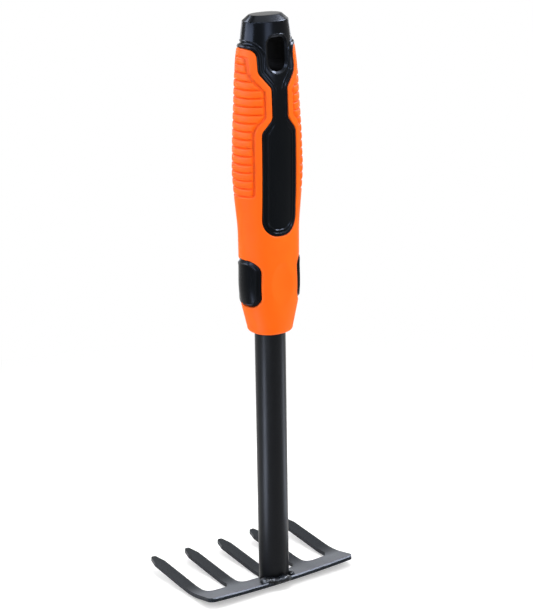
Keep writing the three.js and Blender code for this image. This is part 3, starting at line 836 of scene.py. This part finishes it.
# the thin rim round an opening, just outside its bevel
def thinRim(distance, bevel, sizes):
    middle = bevel + sizes["rimHalfWidth"] * sizes["rimShare"]
    return roundBump(distance, middle, sizes["rimHalfWidth"]) * sizes["rimHeight"]


# directions square to a form, from its places to both sides and above and below
def squareTo(right, left, above, below):
    normal = np.cross(right - left, above - below)
    return normal / np.maximum(np.linalg.norm(normal, axis=1, keepdims=True), tiny)


# outward directions of a smooth form given by its half sizes
def formNormal(turn, height, halves):
    small = 1e-3
    return squareTo(*(np.column_stack([*skinPoint(turn + t, height + h, halves), height + h])
                      for t, h in ((small, 0), (-small, 0), (0, small), (0, -small))))


# the core's outside: a flange along the face's outline, the body a step lower with a thin bead, the
# slot's sunk rim, the windows' raised lands, and all the rest hidden under the rubber
def corePoints(turn, rise, fields, sizes=coreSizes):
    height, inset = heightAndInset(rise)
    shrunk = [half - inset for half in coreHalves(height)]
    body = np.column_stack([*skinPoint(turn, height, lambda _: shrunk), height])
    skin = np.column_stack([*skinPoint(turn, height, outerHalves), height])
    bodyNormal = formNormal(turn, np.minimum(height, gripTop + sizes["capFacing"]), coreHalves)
    skinNormal = formNormal(turn, height, outerHalves)

    inFace, inWindow, fromSlot = fields["face"], fields["window"], fields["slot"]
    flange = 1 - smoothStep(sizes["flangeWidth"], sizes["flangeWidth"] + sizes["stepWidth"], inFace)
    neck = smoothStep(*sizes["neckLow"], height) * (1 - smoothStep(*sizes["neckHigh"], height))
    bead = roundBump(inFace, sizes["beadAt"], sizes["beadHalfWidth"])
    relief = bead * sizes["beadHeight"] * (1 - neck)
    relief -= softRamp(sizes["slotDrop"] * (1 - fromSlot / sizes["slotBevel"]), sizes["softness"])
    relief += thinRim(fromSlot, sizes["slotBevel"], sizes)
    bodyPoint = body + bodyNormal * (relief * (inset == 0))[:, None]
    # the lip over the grip's sides, thinnest at its edge
    edge = np.clip(1 - inFace / sizes["edgeRound"], 0, 1) ** 2 * sizes["edgeDrop"]
    outermost = np.clip(1 - inFace / sizes["flareWidth"], 0, 1)
    flare = smoothStep(*sizes["flareRise"], height) * outermost * sizes["flare"]
    flangePoint = skin - skinNormal * (sizes["flangeDepth"] + edge - flare)[:, None]
    seen = flangePoint * flange[:, None] + bodyPoint * (1 - flange)[:, None]

    bevel = softRamp(sizes["windowDrop"] * (1 - inWindow / sizes["windowBevel"]), sizes["softness"])
    bevel -= thinRim(inWindow, sizes["windowBevel"], sizes)
    land = skin + skinNormal * (sizes["windowProud"] - bevel)[:, None]
    hidden = skin - skinNormal * sizes["hidden"]
    wallFace = np.clip(-inFace / sizes["wall"], 0, 1)[:, None]
    wallWindow = np.clip(-inWindow / sizes["wall"], 0, 1)[:, None]
    points = seen * (1 - wallFace) + hidden * wallFace
    return np.where(wallWindow < 1, land * (1 - wallWindow) + hidden * wallWindow, points)


# shading directions, from places close by that are kept on the seen side of the lines
def coreNormals(skin, sizes):
    turn, rise = skin["turn"], skin["rise"]
    exact, small, short = lineFields(turn, rise), sizes["probeTurn"], sizes["probeRise"]
    kept = {key: field - exact[key] + sizes["seenSide"] * (field == 0)
            for key, field in skin["fields"].items()}
    around = []
    for t, r in ((small, 0), (-small, 0), (0, short), (0, -short)):
        fields = lineFields(turn + t, rise + r)
        fields = {key: fields[key] + kept[key] for key in fields}
        around.append(corePoints(turn + t, rise + r, fields))
    return squareTo(*around)


def makeCore(sizes):
    columns, start = sizes["columns"], sizes["bottom"]
    walls = np.arange(start, capRises[0] - sizes["rowGap"], sizes["step"])
    rises = np.concatenate([walls, capRises])
    skin = halfSkin(rises, columns)
    for field, levels in (("face", sizes["faceLines"]), ("window", sizes["windowLines"]),
                          ("slot", (0.0, *sizes["slotLines"]))):
        for level in levels:
            splitAlong(skin, field, level)
    points = corePoints(skin["turn"], skin["rise"], skin["fields"])
    points, faces, walls, back, onSide = joinHalves(skin, points, 0.0)
    normals = withMirror(coreNormals(skin, sizes), onSide)
    lowEnd = np.arange(columns + 1)
    highEnd = lowEnd + (len(rises) - 1) * (columns + 1)
    ends = [endFace(lowEnd, back, False), endFace(highEnd, back, True)]
    core = makeObject("mouldedCore", inMetres(points), faces + walls + ends, blackPlastic)
    # the slot's walls take the second material, whose near-black colour is painted shade
    core.data.materials.append(slotWallPlasticPaintedShade)
    core.data.shade_smooth()
    cornerNormals = []
    for polygon in core.data.polygons:
        if polygon.index < len(faces):
            cornerNormals += [tuple(normals[v]) for v in polygon.vertices]
        else:
            cornerNormals += [tuple(polygon.normal)] * len(polygon.vertices)
            polygon.material_index = 1 if polygon.index < len(faces) + len(walls) else 0
    core.data.normals_split_custom_set(cornerNormals)
    return core


handOver(makeCore(coreSizes), "handle_core")


# overmould: soft rubber skin with rolled edges, thumb dimples and rib fields

skinSizes = {
    "columns": 84, "cell": 0.7, "gap": 0.3, "roll": 0.8, "buried": 3.3, "wall": 0.4,
    "rimRadius": 2.3, "rimTurn": 78, "rimTurnStep": 13, "holeRadius": 8.25, "top": 286.7,
    "mouthRings": ((1.07, 0.0), (1.03, 0.08), (1.0, 0.3), (1.0, 2.0)),   # share of radius, depth
    "dimpleMiddle": 165.4, "dimpleHalfWidth": 6.6, "dimpleHalfHeight": 11.0, "dimpleDepth": 1.25,
    "rollLines": (0.0, 0.06, 0.2, 0.4, 0.65, 1.0),   # shares of the rolled edge with mesh edges
    "slotGap": 0.5, "rowGap": 0.2, "topStep": 0.35, "sharpFrom": 70,
    "farOff": 9.0,                        # field value of the rim, far from every line
}
ribSizes = {
    "first": 211.94, "pitch": 4.124, "groove": 1.1, "depth": 1.0, "crown": 0.22,
    "bottom": 211.1, "top": 282.6, "border": 3.35, "endGroove": 1.3, "endRound": 1.2, "wall": 0.42,
    "corner": 1.7, "grooveShare": 0.66, "crownPower": 2.0, "endPower": 2.6,
    # shares of the wall and of a rib's rounded end with mesh edges
    "wallLines": (0, 0.5, 1), "endLines": (0, 0.35, 1),
    # rows of the mesh within one pitch, closest together at the groove
    "rows": (0.0, 0.045, 0.09, 0.14, 0.21, 0.35, 0.5, 0.65, 0.79, 0.86, 0.91, 0.955),
}


def skinRows(sizes, ribs):
    start, gap, top = gripSizes["bottom"] + sizes["rimRadius"], sizes["rowGap"], ribs["top"]
    low = np.arange(start, ribs["first"] - ribs["pitch"] / 2, sizes["cell"])
    count = int(round((top - ribs["first"]) / ribs["pitch"])) + 1
    ribbed = [ribs["first"] + (k + share) * ribs["pitch"]
              for k in range(-1, count) for share in ribs["rows"]]
    ribbed = [h for h in ribbed if low[-1] + gap < h < top + gap]
    return np.concatenate([low, ribbed, np.arange(top + 2 * gap, sizes["top"], sizes["topStep"])])


# distance inside the rib field, whose corners are rounded
def fieldDistance(fromFace, height, ribs):
    sides = [fromFace - ribs["border"], height - ribs["bottom"], ribs["top"] - height]
    inside = sides[0]
    for side in sides[1:]:
        a, b = np.maximum(ribs["corner"] - inside, 0), np.maximum(ribs["corner"] - side, 0)
        inside = np.minimum(np.minimum(inside, side), ribs["corner"] - np.hypot(a, b))
    return inside


# rib fields: grooves at a pitch between bowed ribs that round off towards the field's border
def ribTree(ribs):
    tree, given = newShapeTree("ribField", (
        "First Groove", "Pitch", "Groove", "Depth", "Crown", "End Start", "End Stop", "Wall"))
    place = addNode(tree, "GeometryNodeInputPosition")
    height = addNode(tree, "ShaderNodeSeparateXYZ", [place]).outputs["Z"]
    fromFace, inField, outward = (
        addNode(tree, "GeometryNodeInputNamedAttribute", {"Name": name}, data_type=kind)
        for name, kind in (("fromFace", "FLOAT"), ("inField", "FLOAT"), ("outward", "FLOAT_VECTOR")))

    # depth under the skin by the distance from the nearest groove's middle line
    shifted = addNode(tree, "ShaderNodeMath", [height, given["First Groove"]], operation="SUBTRACT")
    half = addNode(tree, "ShaderNodeMath", [given["Pitch"], 0.5], operation="MULTIPLY")
    fromGroove = addNode(tree, "ShaderNodeMath", [shifted, half], operation="PINGPONG")
    reach = addNode(tree, "ShaderNodeMath", [given["Groove"], ribs["grooveShare"]],
                    operation="MULTIPLY")
    deep = addNode(tree, "ShaderNodeMath", [given["Depth"], given["Crown"]], operation="SUBTRACT")
    trench = addNode(tree, "ShaderNodeMapRange", [fromGroove, 0.0, reach, deep, 0.0],
                     interpolation_type="SMOOTHSTEP")
    low = addNode(tree, "ShaderNodeMapRange", [fromGroove, 0.0, half, 1.0, 0.0])
    bow = addNode(tree, "ShaderNodeMath", [low, ribs["crownPower"]], operation="POWER")
    crown = addNode(tree, "ShaderNodeMath", [bow, given["Crown"]], operation="MULTIPLY")
    between = addNode(tree, "ShaderNodeMath", [trench, crown], operation="ADD")
    # the ribs' ends, and the wall round the field
    left = addNode(tree, "ShaderNodeMapRange", [
        fromFace, given["End Start"], given["End Stop"], 1.0, 0.0])
    rounded = addNode(tree, "ShaderNodeMath", [left, ribs["endPower"]], operation="POWER")
    atEnd = addNode(tree, "ShaderNodeMath", [rounded, given["Depth"]], operation="MULTIPLY")
    depth = addNode(tree, "ShaderNodeMath", [between, atEnd], operation="MAXIMUM")
    inside = addNode(tree, "ShaderNodeMapRange", [inField, 0.0, given["Wall"], 0.0, 1.0],
                     interpolation_type="SMOOTHSTEP")
    pressed = addNode(tree, "ShaderNodeMath", [depth, inside], operation="MULTIPLY")
    share = addNode(tree, "ShaderNodeMath", [pressed, given["Depth"]], operation="DIVIDE")
    inward = addNode(tree, "ShaderNodeMath", [pressed, -1.0], operation="MULTIPLY")
    offset = addNode(tree, "ShaderNodeVectorMath", {0: outward, "Scale": inward}, operation="SCALE")
    # the depth share is kept as recess, the mask of the rubber's painted groove shade
    marked = addNode(tree, "GeometryNodeStoreNamedAttribute", {
        "Geometry": given["Geometry"], "Name": "recess", "Value": share},
        data_type="FLOAT", domain="POINT")
    ribbed = addNode(tree, "GeometryNodeSetPosition", {"Geometry": marked, "Offset": offset})
    return finishShape(tree, ribbed, given)


# how far the overmould lies under the outer form: rolled edges, the part buried in the core, and
# the thumb dimples
def skinDepth(fields, x, height, sizes):
    fromHard = np.minimum(-fields["face"], -fields["window"]) - sizes["gap"]
    bow = np.clip(sizes["roll"] - fromHard, 0, sizes["roll"])
    rolled = sizes["roll"] - np.sqrt(sizes["roll"] ** 2 - bow**2)
    buried = np.clip(-fromHard / sizes["wall"], 0, 1)
    depth = rolled * (1 - buried) + sizes["buried"] * buried
    up = (height - sizes["dimpleMiddle"]) / sizes["dimpleHalfHeight"]
    reach = np.hypot(x / sizes["dimpleHalfWidth"], up)
    return depth + sizes["dimpleDepth"] * np.clip(1 - reach**2, 0, 1)


# rings inwards from the lowest row: the rounded rim, then the mouth round the tube
def rimRings(row, sizes):
    flat = row * (1, 1, 0)
    radius = np.linalg.norm(flat, axis=1, keepdims=True)
    rim, bottom = sizes["rimRadius"], gripSizes["bottom"]
    rings = []
    for angle in np.radians(np.arange(sizes["rimTurn"], -1, -sizes["rimTurnStep"])):
        inner = flat * (1 - rim * (1 - math.sin(angle)) / radius)
        rings.append(inner + (0, 0, bottom + rim * (1 - math.cos(angle))))
    for share, rise in sizes["mouthRings"]:
        rings.append(flat / radius * sizes["holeRadius"] * share + (0, 0, bottom + rise))
    return rings


def makeOvermould(sizes, ribs):
    heights, width = skinRows(sizes, ribs), sizes["columns"] + 1
    skin = halfSkin(heights, sizes["columns"])
    ribEnd = ribs["border"] + ribs["endGroove"]
    edgeLines = [sizes["gap"] - sizes["wall"]]
    edgeLines += [sizes["gap"] + sizes["roll"] * s for s in sizes["rollLines"]]
    ribLines = [ribs["border"] + ribs["wall"] * s for s in ribs["wallLines"]]
    ribLines += [ribEnd + ribs["endRound"] * s for s in ribs["endLines"]]
    for level in edgeLines + ribLines:
        splitAlong(skin, "face", -level)
    for level in edgeLines:
        splitAlong(skin, "window", -level)
    splitAlong(skin, "slot", sizes["slotGap"])
    turn, height, fields = skin["turn"], skin["rise"], skin["fields"]
    x, y = skinPoint(turn, height, outerHalves)
    normal = formNormal(turn, height, outerHalves)
    depth = skinDepth(fields, x, height, sizes)
    points = np.column_stack([x, y, height]) - normal * depth[:, None]
    inField = fieldDistance(-fields["face"], height, ribs)
    # the slot splits the upper end in two
    top = np.flatnonzero((height == heights[-1]) & (fields["slot"] >= sizes["slotGap"]))
    top = top[np.argsort(turn[top])]
    topEnds = [top[x[top] < 0], top[x[top] > 0]]

    rings = rimRings(points[:width], sizes)
    rows = [np.arange(width) + first
            for first in (0, *(len(points) + k * width for k in range(len(rings))))]
    for above, below in zip(rows, rows[1:]):
        skin["triangles"] = np.vstack([
            skin["triangles"], np.column_stack([below[:-1], below[1:], above[1:]]),
            np.column_stack([below[:-1], above[1:], above[:-1]])])
    extra = len(rings) * width
    far = np.full(extra, sizes["farOff"])
    skin["turn"] = np.concatenate([turn, np.tile(turn[:width], len(rings))])
    fields["slot"] = np.concatenate([fields["slot"], far])
    points, faces, walls, back, onSide = joinHalves(skin, np.vstack([points] + rings), sizes["slotGap"])
    ends = [endFace(rows[-1], back, False)] + [endFace(part, back, True) for part in topEnds]
    overmould = makeObject("softOvermould", inMetres(points), faces + walls + ends, orangeRubber)

    attributes = overmould.data.attributes
    for name, values in (("fromFace", -fields["face"]), ("inField", inField)):
        values = withMirror(np.concatenate([values, -far]), onSide) * mm
        attributes.new(name, "FLOAT", "POINT").data.foreach_set("value", values)
    outward = withMirror(np.vstack([normal, np.tile([0, 0, -1.0], (extra, 1))]), onSide)
    attributes.new("outward", "FLOAT_VECTOR", "POINT").data.foreach_set("vector", outward.ravel())
    applyTree(overmould, ribTree(ribs), {
        "First Groove": (ribs["first"] - slotHeight) * mm, "Pitch": ribs["pitch"] * mm,
        "Groove": ribs["groove"] * mm, "Depth": ribs["depth"] * mm, "Crown": ribs["crown"] * mm,
        "End Start": ribEnd * mm, "End Stop": (ribEnd + ribs["endRound"]) * mm,
        "Wall": ribs["wall"] * mm, "Material": orangeRubber})
    for name in ("fromFace", "inField", "outward"):
        overmould.data.attributes.remove(overmould.data.attributes[name])
    smoothFaces(overmould, sizes["sharpFrom"])
    return overmould


handOver(makeOvermould(skinSizes, ribSizes), "grip_overmould")


# stage: pale floor, white surroundings, softboxes

stageSizes = {
    "floorReach": 3.0, "floorColour": "#f2f2f2", "floorDrop": 0.2, "floorLift": 0.34,
    "ambient": 0.40,
    "fadeStart": 0.10, "fadeEnd": 0.42,   # metres from the object over which the floor turns white
    # turn from the camera in degrees, elevation, distance, width, height, power in watts
    "washes": {   # broad light on colours; their mirror images would veil the black panel and windows
        "keyLeft": (-68, 14, 0.42, 0.12, 0.50, 1.20),
        "fillRight": (60, 14, 0.44, 0.16, 0.50, 1.20),
    },
    "softboxes": {
        "rimLeft": (-140, 12, 0.55, 0.10, 0.46, 0.7),
        "rimRight": (150, 12, 0.55, 0.10, 0.46, 0.5),
        "top": (60, 80, 0.6, 0.40, 0.40, 2.2),
    },
    # cards that show only in the gloss, as a photographer's reflectors do; the two beside the tube
    # stand so near that its reflections, which run downwards, meet them above the floor
    "cardColour": "#e4ebfb",
    "reflectors": {
        "cardTubeLeft": (-42, -39, 0.167, 0.045, 0.115, 0.28),
        "cardTubeRight": (96, -39, 0.175, 0.040, 0.115, 0.09),
        "cardCapLeft": (-60, 27, 0.30, 0.34, 0.10, 2.3),
        "cardCapFront": (42, 27, 0.30, 0.09, 0.10, 0.40),
        "cardFace": (-12, -3, 0.30, 0.03, 0.09, 0.22),
        "cardHigh": (-4, 46, 0.50, 0.90, 0.06, 8.0),
        "cardShoulder": (-103, 52, 0.50, 0.30, 0.16, 4.5),
        "cardRim": (104, 62, 0.40, 0.24, 0.12, 0.4),
        "cardEdge": (108, 48, 0.55, 0.20, 0.11, 7.0),
        "cardBack": (180, -2, 0.80, 1.0, 0.26, 1.5),
    },
}


# whether the camera sees what a ray meets, directly or in gloss or glass
def seenByCamera(tree):
    rays = addNode(tree, "ShaderNodeLightPath").outputs
    seen = rays["Is Camera Ray"]
    for kind in ("Is Glossy Ray", "Is Transmission Ray"):
        seen = addNode(tree, "ShaderNodeMath", [seen, rays[kind]], operation="MAXIMUM").outputs[0]
    return seen


def makeFloor(sizes):
    reach, level = sizes["floorReach"], cadBounds[0][2] - sizes["floorDrop"] * mm
    corners = [(x * reach, y * reach, level) for x, y in ((-1, -1), (1, -1), (1, 1), (-1, 1))]
    material, tree = newMaterial("paleStudioFloor")
    # the camera sees a little light added, which makes the floor white and leaves the shadow
    seen = seenByCamera(tree)
    strength = addNode(tree, "ShaderNodeMath", [seen, sizes["floorLift"]], operation="MULTIPLY")
    diffuse = addNode(tree, "ShaderNodeBsdfDiffuse", [linearColour(sizes["floorColour"])])
    glow = addNode(tree, "ShaderNodeEmission", {"Strength": strength})
    near = addNode(tree, "ShaderNodeAddShader", [diffuse, glow])
    # away from the object the floor passes into the white of the surroundings
    place = addNode(tree, "ShaderNodeTexCoord").outputs["Object"]
    distance = addNode(tree, "ShaderNodeVectorMath", [place, (0, 0, level)],
                       operation="DISTANCE").outputs["Value"]
    fade = addNode(tree, "ShaderNodeMapRange", [distance, sizes["fadeStart"], sizes["fadeEnd"]],
                   interpolation_type="SMOOTHSTEP")
    fade = addNode(tree, "ShaderNodeMath", [fade, seen], operation="MULTIPLY")
    white = addNode(tree, "ShaderNodeEmission", {"Strength": 1.0})
    both = addNode(tree, "ShaderNodeMixShader", [fade, near, white])
    addNode(tree, "ShaderNodeOutputMaterial", [both])
    makeObject("studioFloor", corners, [(0, 1, 2, 3)], material)


def makeWorld(sizes):
    world = bpy.data.worlds.new("studio")
    bpy.context.scene.world = world
    world.use_nodes = True
    tree = world.node_tree
    tree.nodes.clear()
    strength = addNode(tree, "ShaderNodeMapRange", {
        "Value": seenByCamera(tree), "To Min": sizes["ambient"], "To Max": 1.0})
    sky = addNode(tree, "ShaderNodeBackground", {"Color": (1, 1, 1, 1), "Strength": strength})
    addNode(tree, "ShaderNodeOutputWorld", [sky])


def makeSoftbox(name, kind, turn, elevation, distance, width, height, power):
    centre = Vector((cadBounds[0][i] + cadBounds[1][i] for i in range(3))) / 2
    azimuth = math.radians(cameraSizes["azimuth"] + turn)
    raised = math.radians(elevation)
    away = Vector((math.sin(azimuth) * math.cos(raised), -math.cos(azimuth) * math.cos(raised),
                   math.sin(raised)))
    data = bpy.data.lights.new(name, "AREA")
    data.shape, data.size, data.size_y, data.energy = "RECTANGLE", width, height, power
    lamp = bpy.data.objects.new(name, data)
    bpy.context.collection.objects.link(lamp)
    lamp.location = centre + away * distance
    lamp.rotation_euler = away.to_track_quat("Z", "Y").to_euler()
    lamp.visible_camera = False           # it stands near the object, so other views look past it
    lamp.visible_diffuse, lamp.visible_glossy = kind != "reflectors", kind != "washes"
    if kind == "reflectors":
        data.color = linearColour(stageSizes["cardColour"])[:3]


makeFloor(stageSizes)
makeWorld(stageSizes)
for kind in ("washes", "softboxes", "reflectors"):
    for name, values in stageSizes[kind].items():
        makeSoftbox(name, kind, *values)
bpy.context.scene.view_settings.view_transform = "Standard"
print("stage set")
